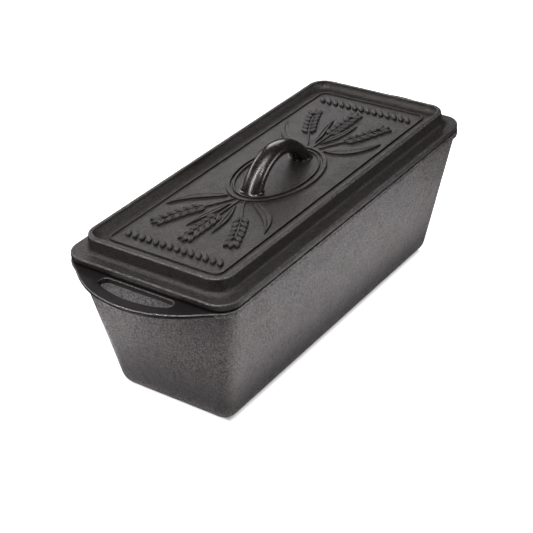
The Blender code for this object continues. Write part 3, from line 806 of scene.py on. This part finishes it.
def oval(half_length, half_width, half_band):
    """A closed band round an oval: the path is (a cos t, b sin t)."""
    t = np.linspace(0, 2 * pi, OVAL_POINTS)
    path = np.stack((half_length * np.cos(t), half_width * np.sin(t)), -1)
    return raised(path, half_band, RELIEF_HEIGHT)


def rope(x):
    """A row of short slanted rolls across the tray at x."""
    middle = np.arange(-ROPE_HALF_LENGTH, ROPE_HALF_LENGTH + ROPE_SPACING / 2, ROPE_SPACING)
    centre = np.stack((np.full_like(middle, x), middle), -1)
    points = np.stack([centre + ROPE_SLANT * share for share in (-1, -1 / 3, 1 / 3, 1)], 1)
    return blade(points, ROPE_HALF_WIDTH, RELIEF_HEIGHT, fullest=1.0, blunt=0.45, count=GRAIN_POINTS,
                 dome=0.3)


def border():
    """A closed band along a rounded rectangle inside the tray."""
    x, y = rounded_rectangles(*(np.array([value]) for value in (*BORDER_HALF, BORDER_CORNER)))
    path = np.stack((x[0], y[0]), -1)
    return raised(np.concatenate((path, path[:1])), BORDER_HALF_WIDTH, LOW_RELIEF)


far_spray = spray()
ornament = (
    ("lid_wheat_far", far_spray),
    ("lid_wheat_near", [part * (-1, -1, 1) for part in far_spray]),
    ("lid_oval_band", [oval(*OUTER_OVAL), oval(*INNER_OVAL)]),
    ("lid_rope_bars", [rope(ROPE_PLACE), rope(-ROPE_PLACE)]),
    ("lid_border_line", [border()]),
)
relief = [skin(name, parts, "lid") for name, parts in ornament]

# %% [markdown]
# ## Node groups for cast iron
# Seasoned cast iron is one material in many moods: the same sand grain, the same hollows with painted shade
# and rubbed edges with a painted highlight, in different amounts on the walls, on the tray and on the
# handle. Each effect is a node group, built once. A group only puts out masks and heights. What they do to
# colour and roughness is decided in each material.

# %% Helpers for node trees
def node(tree, kind, sockets=(), **settings):
    """One node with its settings, its inputs filled with values or linked to other nodes' outputs."""
    made = tree.nodes.new(kind)
    for name, value in settings.items():
        setattr(made, name, value)
    for name, value in dict(sockets).items():
        if isinstance(value, bpy.types.NodeSocket):
            tree.links.new(value, made.inputs[name])
        else:
            made.inputs[name].default_value = value
    return made


def group(name, inputs, outputs):
    """A node group that reads a place and named numbers, with its inner input and output nodes."""
    tree = bpy.data.node_groups.new(name, "ShaderNodeTree")
    tree.interface.new_socket("Vector", in_out="INPUT", socket_type="NodeSocketVector")
    for socket, value in inputs.items():
        made = tree.interface.new_socket(socket, in_out="INPUT", socket_type="NodeSocketFloat")
        made.default_value = value
    for socket in outputs:
        tree.interface.new_socket(socket, in_out="OUTPUT", socket_type="NodeSocketFloat")
    return tree, tree.nodes.new("NodeGroupInput"), tree.nodes.new("NodeGroupOutput")


def put_out(tree, group_out, **values):
    """Link values to a group's output sockets by name."""
    for name, value in values.items():
        tree.links.new(value, group_out.inputs[name])


def noise(tree, vector, scale, detail, roughness):
    """A noise texture: features a metre, how many finer layers lie on it, and how strong they are."""
    made = node(tree, "ShaderNodeTexNoise", {
        "Vector": vector, "Scale": scale, "Detail": detail, "Roughness": roughness})
    return made.outputs["Fac"]


def math(tree, operation, first, second=0.0, third=0.0, clamp=False):
    """One step of arithmetic."""
    made = node(tree, "ShaderNodeMath", operation=operation, use_clamp=clamp)
    for index, value in enumerate((first, second, third)):
        if isinstance(value, bpy.types.NodeSocket):
            tree.links.new(value, made.inputs[index])
        else:
            made.inputs[index].default_value = value
    return made.outputs[0]


def band(tree, value, low, high):
    """0 below low, 1 above high, and a smooth climb between them."""
    made = node(tree, "ShaderNodeMapRange", {"Value": value, "From Min": low, "From Max": high},
                interpolation_type="SMOOTHSTEP")
    return made.outputs["Result"]


print("helpers ready")

# %% [markdown]
# ## Sand grain
# The mould's sand leaves a fine print. Its largest grains are a little over a millimetre wide, with
# ever finer ones on them, and under them lie softer lumps of about three. Here and there is a pit
# where a grain came loose. The group gives a height for the bump, and separate masks for the grain
# and for the dark specks on the walls, which are drawn out a little upwards. Each noise is set by
# three numbers: its features a metre, its finer layers and their strength. A band says between
# which two values of it a mask climbs from 0 to 1.

# %% The sand grain group
GRAIN_NOISE = (720, 4, 0.75)
LUMP_NOISE = (300, 2, 0.55)
PIT_NOISE = (760, 1, 0.5)
PIT_BAND = (0.6, 0.74)
SPECK_NOISE = (430, 4, 0.8)
SPECK_BAND = (0.53, 0.63)
SPECK_SQUEEZE = (1, 1, 0.55)

sand_grain, grain_in, grain_out = group(
    "sand_grain", {"Lumps": 0.5, "Pits": 0.5}, ("Height", "Grain", "Specks"))
place = grain_in.outputs["Vector"]
fine = noise(sand_grain, place, *GRAIN_NOISE)
lumps = noise(sand_grain, place, *LUMP_NOISE)
pits = band(sand_grain, noise(sand_grain, place, *PIT_NOISE), *PIT_BAND)
drawn = node(sand_grain, "ShaderNodeMapping", {"Vector": place, "Scale": SPECK_SQUEEZE})
specks = band(sand_grain, noise(sand_grain, drawn.outputs["Vector"], *SPECK_NOISE), *SPECK_BAND)
height = math(sand_grain, "MULTIPLY_ADD", lumps, grain_in.outputs["Lumps"], fine)
height = math(sand_grain, "SUBTRACT", height, math(sand_grain, "MULTIPLY", pits, grain_in.outputs["Pits"]))
put_out(sand_grain, grain_out, Height=height, Grain=fine, Specks=specks)
print("sand grain nodes:", len(sand_grain.nodes))

# %% [markdown]
# ## Rubbed edges and painted shade in hollows
# The mesh carries how sharply it bends. Where it bends outwards, hands and cloths have rubbed the iron
# smooth, and a painted highlight makes it a little brighter. Where it bends inwards, the iron is painted
# darker, a painted shade. Noise breaks up the bright edges only, because no real edge is rubbed all along
# its length.

# %% The group for rubbed edges and painted shade in hollows
WEAR_NOISE = (260, 3, 0.6)
WEAR_BAND = (0.35, 0.62)
EDGE_BAND = (0.15, 0.9)
HOLLOW_SHADE_BAND = (0.1, 0.9)

wear_and_shade, wear_in, wear_out = group("wear_and_shade", {"Curve": 0, "Evenness": 0.3}, ("Edge", "Hollow"))
broken = band(wear_and_shade, noise(wear_and_shade, wear_in.outputs["Vector"], *WEAR_NOISE), *WEAR_BAND)
broken = math(wear_and_shade, "MAXIMUM", broken, wear_in.outputs["Evenness"])
edge = band(wear_and_shade, wear_in.outputs["Curve"], *EDGE_BAND)
# Painted shade: where the mesh bends inwards the iron is painted darker.
hollow_shade = band(wear_and_shade, math(wear_and_shade, "MULTIPLY", wear_in.outputs["Curve"], -1), *HOLLOW_SHADE_BAND)
put_out(wear_and_shade, wear_out, Edge=math(wear_and_shade, "MULTIPLY", edge, broken), Hollow=hollow_shade)
print("edge wear nodes:", len(wear_and_shade.nodes))

# %% [markdown]
# ## Seasoning
# Oil burnt onto iron makes a thin uneven film. It darkens the metal in slow clouds a few centimetres
# wide, some of them browner, and it is glossier where it lies thicker.

# %% The seasoning group
FILM_NOISES = {"Clouds": (22, 3, 0.6), "Brown": (13, 2, 0.5), "Sheen": (70, 3, 0.6)}
FILM_BAND = (0.3, 0.7)

seasoning, film_in, film_out = group("seasoning", {}, FILM_NOISES)
for name, texture in FILM_NOISES.items():
    value = noise(seasoning, film_in.outputs["Vector"], *texture)
    put_out(seasoning, film_out, **{name: band(seasoning, value, *FILM_BAND)})
print("seasoning nodes:", len(seasoning.nodes))

# %% [markdown]
# ## Four finishes of iron
# The walls of the pan are paler and show the sand. The lid is darker and browner. The handle has been
# ground and handled, so it is smoother. The fourth finish is nearly black: painted shade for faces that lie
# in shade. One function wires the groups together, and each finish is a set of amounts.
#
# The sand grain makes the colour darker and lighter, times the attribute named coarse. That shade is
# held between a darkest and a brightest value, because the walls show dark dots on an even grey.
# Rubbed edges are bare metal, partly real and partly a painted highlight, so there the metallic amount goes
# up with the colour.

# %% Mix a finish of cast iron
BROWN_SHARE = 0.8
CLOUD_SHARE = 0.15
HOLLOW_SHADE_SHARE = 0.55
EDGE_SHARE = 0.75
SHEEN_SPREAD = 0.1
SPECK_ROUGHNESS = 0.12
SPECULAR_TINT = (1, 0.93, 0.93, 1)
NOISE_MIDDLE = 0.5
DARKEST_GRAIN = 0.15
BRIGHTEST_GRAIN = 1.95
MIX_INPUTS = (0, 6, 7)
MIX_RESULT = 2


def mixed(tree, share, first, second):
    """A colour between two, by a mask. The node has sockets for numbers too, so these go by index."""
    made = node(tree, "ShaderNodeMix", data_type="RGBA")
    for index, value in zip(MIX_INPUTS, (share, first, second)):
        if isinstance(value, bpy.types.NodeSocket):
            tree.links.new(value, made.inputs[index])
        else:
            made.inputs[index].default_value = (*value, 1)
    return made.outputs[MIX_RESULT]


def new_material(name):
    """A material with its node tree and its shader."""
    material = bpy.data.materials.new(name)
    material.use_nodes = True
    return material, material.node_tree, material.node_tree.nodes["Principled BSDF"]


def cast_iron(name, iron, brown, worn_and_highlight, soot_and_shade, specks, sandy, roughness, rubbed, grain, specular):
    """Seasoned iron: clouds of brown, dark specks, painted shade in hollows and low on the pan, rubbed
    edges with a painted highlight, and a sandy bump.
    """
    material, tree, shader = new_material(name)
    place = node(tree, "ShaderNodeTexCoord").outputs["Object"]
    curve, low_shade, coarse = (
        node(tree, "ShaderNodeAttribute", attribute_name=attribute).outputs["Fac"]
        for attribute in ("curve", "soot_and_shade", "coarse"))
    sand, rubbed_and_shaded, film = (
        node(tree, "ShaderNodeGroup", node_tree=effect) for effect in (sand_grain, wear_and_shade, seasoning))
    for effect in (sand, rubbed_and_shaded, film):
        tree.links.new(place, effect.inputs["Vector"])
    tree.links.new(curve, rubbed_and_shaded.inputs["Curve"])

    colour = mixed(tree, math(tree, "MULTIPLY", film.outputs["Brown"], BROWN_SHARE), iron, brown)
    colour = mixed(tree, math(tree, "MULTIPLY", film.outputs["Clouds"], CLOUD_SHARE), colour, soot_and_shade)
    contrast = math(tree, "MULTIPLY", coarse, sandy)
    shade = math(tree, "SUBTRACT", sand.outputs["Grain"], NOISE_MIDDLE)
    shade = math(tree, "MULTIPLY_ADD", shade, contrast, 1)
    shade = math(tree, "MINIMUM", math(tree, "MAXIMUM", shade, DARKEST_GRAIN), BRIGHTEST_GRAIN)
    shaded = node(tree, "ShaderNodeVectorMath", {"Vector": colour, "Scale": shade}, operation="SCALE")
    colour = shaded.outputs["Vector"]
    colour = mixed(tree, math(tree, "MULTIPLY", sand.outputs["Specks"], specks), colour, soot_and_shade)
    # Painted shade in the hollows.
    colour = mixed(tree, math(tree, "MULTIPLY", rubbed_and_shaded.outputs["Hollow"], HOLLOW_SHADE_SHARE), colour, soot_and_shade)
    # Painted shade low on the pan, as the mesh attribute gives it.
    colour = mixed(tree, low_shade, colour, soot_and_shade)
    # Rubbed edges: a lighter, more metallic colour, partly rubbed metal and partly painted highlight.
    bare_and_highlight = math(tree, "MULTIPLY", rubbed_and_shaded.outputs["Edge"], EDGE_SHARE)
    tree.links.new(mixed(tree, bare_and_highlight, colour, worn_and_highlight), shader.inputs["Base Color"])
    tree.links.new(bare_and_highlight, shader.inputs["Metallic"])

    rough = math(tree, "MULTIPLY_ADD", film.outputs["Sheen"], SHEEN_SPREAD, roughness - SHEEN_SPREAD / 2)
    rough = math(tree, "MULTIPLY_ADD", sand.outputs["Specks"], SPECK_ROUGHNESS, rough)
    rough = math(tree, "MULTIPLY_ADD", rubbed_and_shaded.outputs["Edge"], rubbed - roughness, rough, clamp=True)
    tree.links.new(rough, shader.inputs["Roughness"])
    shader.inputs["Specular IOR Level"].default_value = specular
    shader.inputs["Specular Tint"].default_value = SPECULAR_TINT

    bump = node(tree, "ShaderNodeBump", {
        "Strength": 1.0, "Distance": grain, "Height": sand.outputs["Height"]})
    tree.links.new(bump.outputs["Normal"], shader.inputs["Normal"])
    return material


pan_iron = cast_iron(
    "pan_iron", iron=(0.148, 0.133, 0.135), brown=(0.142, 0.118, 0.119), worn_and_highlight=(0.5, 0.48, 0.48),
    soot_and_shade=(0.011, 0.01, 0.0102), specks=0.95, sandy=56.0, roughness=0.42, rubbed=0.22,
    grain=0.55 * MM, specular=0.6)
# Nearly black: painted shade for faces that lie in shade.
painted_shade_iron = cast_iron(
    "painted_shade_iron", iron=(0.016, 0.015, 0.015), brown=(0.016, 0.013, 0.013), worn_and_highlight=(0.12, 0.115, 0.115),
    soot_and_shade=(0.007, 0.0065, 0.0065), specks=0.3, sandy=4.0, roughness=0.4, rubbed=0.3,
    grain=0.12 * MM, specular=0.18)
lid_iron = cast_iron(
    "lid_iron", iron=(0.025, 0.022, 0.0218), brown=(0.024, 0.0185, 0.0175), worn_and_highlight=(0.3, 0.29, 0.28),
    soot_and_shade=(0.008, 0.0072, 0.007), specks=0.6, sandy=17.0, roughness=0.42, rubbed=0.2,
    grain=0.5 * MM, specular=0.8)
handle_iron = cast_iron(
    "handle_iron", iron=(0.018, 0.0155, 0.0155), brown=(0.018, 0.0142, 0.0138), worn_and_highlight=(0.1, 0.095, 0.095),
    soot_and_shade=(0.006, 0.0056, 0.0056), specks=0.35, sandy=5.0, roughness=0.23, rubbed=0.24,
    grain=0.05 * MM, specular=0.9)
print("finishes:", pan_iron.name, painted_shade_iron.name, lid_iron.name, handle_iron.name)

# %% [markdown]
# ## Which face has which finish
# Each piece has a finish of its own, and some of its faces another, chosen by where they lie and which way
# they face. The nearly black finish is painted shade on faces that lie in shade: on the sides of the
# ornament, on the underside of the lid and its flange, on the level top of the crescents, on the far side
# of the finger slots and in the groove round their edge. The inside of the pan is as dark as the lid.

# %% Choose the faces
# Painted shade: the numbers that pick the faces with the nearly black finish.
SHADED_TOP_BELOW = 0.3 * MM
SHADED_TOP_FACING = 0.8
SHADED_SEAM_ABOVE = 1.2 * MM
RELIEF_SIDE = 0.85
SHADED_FLANGE = 2.6 * MM
INSIDE_WALL = 0.8 * WALL


def faces_of(piece):
    """The centres and the normals of all faces."""
    centre = np.empty((len(piece.data.polygons), 3))
    facing = np.empty_like(centre)
    piece.data.polygons.foreach_get("center", centre.ravel())
    piece.data.polygons.foreach_get("normal", facing.ravel())
    return centre, facing


def dress(piece, choice, *finishes):
    """Give a piece its finishes, and each face the one that its number in the choice says."""
    piece.data.materials.clear()
    for material in finishes:
        piece.data.materials.append(material)
    if len(finishes) > 1:
        piece.data.polygons.foreach_set("material_index", choice.astype(int))
    print(piece.name, "finishes:", len(finishes))


dress(arch, None, handle_iron)
# Painted shade on the steep sides of the ornament and under the lid's flange.
for piece in relief:
    dress(piece, faces_of(piece)[1][:, 2] < RELIEF_SIDE, lid_iron, painted_shade_iron)
dress(lid, faces_of(lid)[0][:, 2] < FLANGE_BOTTOM + SHADED_FLANGE, lid_iron, painted_shade_iron)

# Painted shade on the pan: the level top of the crescents, the far side of the slots and the seam groove.
centre, facing = faces_of(pan)
x, y, z = np.abs(centre).T
level_top = (facing[:, 2] > SHADED_TOP_FACING) & (z > PAN_HEIGHT - SHADED_TOP_BELOW)
slot_outer = RIM_HALF_LENGTH + LEDGE_REACH - SLOT_WEB + SLOT_RIM
in_slot = ((x > slot_outer - SLOT_DEPTH / 2) & (x < slot_outer)
           & (y < SLOT_HALF_LENGTH + SLOT_RIM) & (z > LIP_BOTTOM))
in_seam = (x > RIM_HALF_LENGTH) & (z > LIP_BOTTOM + SHADED_SEAM_ABOVE) & (z < PAN_HEIGHT - LIP_EDGE)
inside = (x < wall_half_length(z) - INSIDE_WALL) & (y < wall_half_width(z) - INSIDE_WALL) & (z > FLOOR / 2)
dress(pan, np.where(inside, 2, level_top | in_slot | in_seam), pan_iron, painted_shade_iron, lid_iron)

# %% [markdown]
# ## The table
# The pan stands on a white sheet that runs out of the picture on all sides. For the camera it is white
# everywhere, apart from the shadow. For the light that the iron mirrors it is white only near the pan
# and fades to a dark room further off. That is how dark glossy things are photographed: the leaning
# walls pick up the bright sheet below them, and upright faces mirror the dark room and stay black.
#
# Each pair of numbers below is a band in metres, and a smooth climb goes from the first to the
# second. The sheet fades at another distance beyond each end and beyond the sides. Beside the long
# walls it glows for mirrored rays only, and beyond the near end a little, more so towards the left.
# Right at the foot of the walls the sheet's own fill of light is lowered, which leaves a thin shadow.

# %% Lay the table
TABLE_HALF = 6.0
TABLE_WHITE = (0.9, 0.9, 0.91)
ROOM_DARK = (0.05, 0.05, 0.05)
TABLE_ROUGHNESS = 0.7
FADE_NEAR = (0.22, 0.32)
FADE_FAR = (0.1, 0.42)
FADE_SIDEWAYS = (0.118, 0.15)
NEAR_END_GLOW = (-0.03, 0.05)
SIDE_GLOW = (0.008, 0.075)
LEFT_GLOW = (-0.05, 0.13)
NEAR_END_CONTACT = (-0.009, -0.004)
SIDE_CONTACT = (-0.008, 0.001)
END_GLOW_SHARE = 0.14
GLOW = 4.1
LEAST_FILL = 0.15

corners = np.array(((-1, -1, 0), (1, -1, 0), (1, 1, 0), (-1, 1, 0))) * TABLE_HALF
table_mesh = bpy.data.meshes.new("table")
table_mesh.from_pydata(corners, (), ((0, 1, 2, 3),))
table = placed("table", table_mesh)

table_white, tree, shader = new_material("table_white")
sides = node(tree, "ShaderNodeSeparateXYZ", {"Vector": node(tree, "ShaderNodeTexCoord").outputs["Object"]})
from_x = math(tree, "ABSOLUTE", sides.outputs["X"])
from_y = math(tree, "ABSOLUTE", sides.outputs["Y"])
towards_near = band(tree, math(tree, "MULTIPLY", sides.outputs["X"], -1.0), *FADE_NEAR)
lengthwise = math(tree, "MAXIMUM", towards_near, band(tree, sides.outputs["X"], *FADE_FAR))
far_off = math(tree, "MAXIMUM", lengthwise, band(tree, from_y, *FADE_SIDEWAYS))
past_end = math(tree, "SUBTRACT", from_x, float(wall_half_length(0)))
past_side = math(tree, "SUBTRACT", from_y, float(wall_half_width(0)))
leftwards = math(tree, "MULTIPLY", band(tree, sides.outputs["Y"], *LEFT_GLOW), END_GLOW_SHARE)
end_glow = math(tree, "MULTIPLY", band(tree, past_end, *NEAR_END_GLOW), leftwards)
beside = math(tree, "MAXIMUM", end_glow, band(tree, past_side, *SIDE_GLOW))
rays = node(tree, "ShaderNodeLightPath")
for_camera = rays.outputs["Is Camera Ray"]
dark = math(tree, "MULTIPLY", far_off, math(tree, "SUBTRACT", 1.0, for_camera))
tree.links.new(mixed(tree, dark, TABLE_WHITE, ROOM_DARK), shader.inputs["Base Color"])
shader.inputs["Roughness"].default_value = TABLE_ROUGHNESS
shader.inputs["Specular IOR Level"].default_value = 0.0
shader.inputs["Emission Color"].default_value = (1, 1, 1, 1)
glow = math(tree, "MULTIPLY", beside, math(tree, "SUBTRACT", 1.0, far_off))
glow = math(tree, "MULTIPLY", glow, math(tree, "MULTIPLY", rays.outputs["Is Glossy Ray"], GLOW))
clear = math(tree, "MAXIMUM", band(tree, past_end, *NEAR_END_CONTACT), band(tree, past_side, *SIDE_CONTACT))
fill = math(tree, "MULTIPLY_ADD", clear, 1 - LEAST_FILL, LEAST_FILL)
tree.links.new(math(tree, "MULTIPLY_ADD", for_camera, fill, glow), shader.inputs["Emission Strength"])
table_mesh.materials.append(table_white)
print("table nodes:", len(tree.nodes))

# %% [markdown]
# ## The light
# Black iron is lit by what it mirrors, so each of the six lamps has faces of its own. The level faces
# of the lid mirror the wide one behind the pan. The tall narrow one to the left gives the handle its
# streak. A small one above the camera draws the lines along the near corner, the low long one on the
# left draws the far edges, the one on the right washes the long wall, and a weak one overhead fills
# in. Each is aimed at a point inside the pan. The room itself is nearly dark, but white to the camera.

# %% Hang the lamps
from mathutils import Vector

LAMP_AIM = (0, 0, 0.1)
ROOM_LIGHT = 0.015


def soft_lamp(name, way, distance, size, power):
    """An area lamp, so wide and so tall, that looks at the pan from a direction and a distance."""
    lamp = bpy.data.lights.new(name, "AREA")
    lamp.shape = "RECTANGLE"
    lamp.size, lamp.size_y = size
    lamp.energy = power
    hung = placed(name, lamp)
    way = np.array(way) / np.linalg.norm(way)
    hung.location = way * distance + LAMP_AIM
    hung.rotation_mode = "QUATERNION"
    hung.rotation_quaternion = Vector(way).to_track_quat("Z", "Y")


LAMPS = (
    ("lamp_top", (-0.1, -0.05, 1.0), 1.3, (0.5, 0.5), 4),
    ("lamp_behind", (0.71, 0.54, 0.44), 1.7, (0.7, 0.7), 5.2),
    ("lamp_over_camera", (-0.34, -0.4, 0.85), 1.4, (0.2, 0.2), 2.5),
    ("lamp_left", (0.08, 0.92, 0.36), 1.4, (1.1, 0.3), 4),
    ("lamp_strip", (-0.66, 0.2, 0.72), 1.4, (0.12, 1.3), 11.5),
    ("lamp_right", (0.3, -0.95, 0.32), 1.6, (0.9, 0.5), 7),
)
for lamp in LAMPS:
    soft_lamp(*lamp)

world = bpy.data.worlds.new("room")
bpy.context.scene.world = world
world.use_nodes = True
room = world.node_tree
background = room.nodes["Background"]
background.inputs["Color"].default_value = (1, 1, 1, 1)
rays = node(room, "ShaderNodeLightPath")
strength = math(room, "MULTIPLY_ADD", rays.outputs["Is Camera Ray"], 1 - ROOM_LIGHT, ROOM_LIGHT)
room.links.new(strength, background.inputs["Strength"])
bpy.context.scene.view_settings.view_transform = "Standard"
print("lamps:", [lamp.name for lamp in bpy.data.lights])
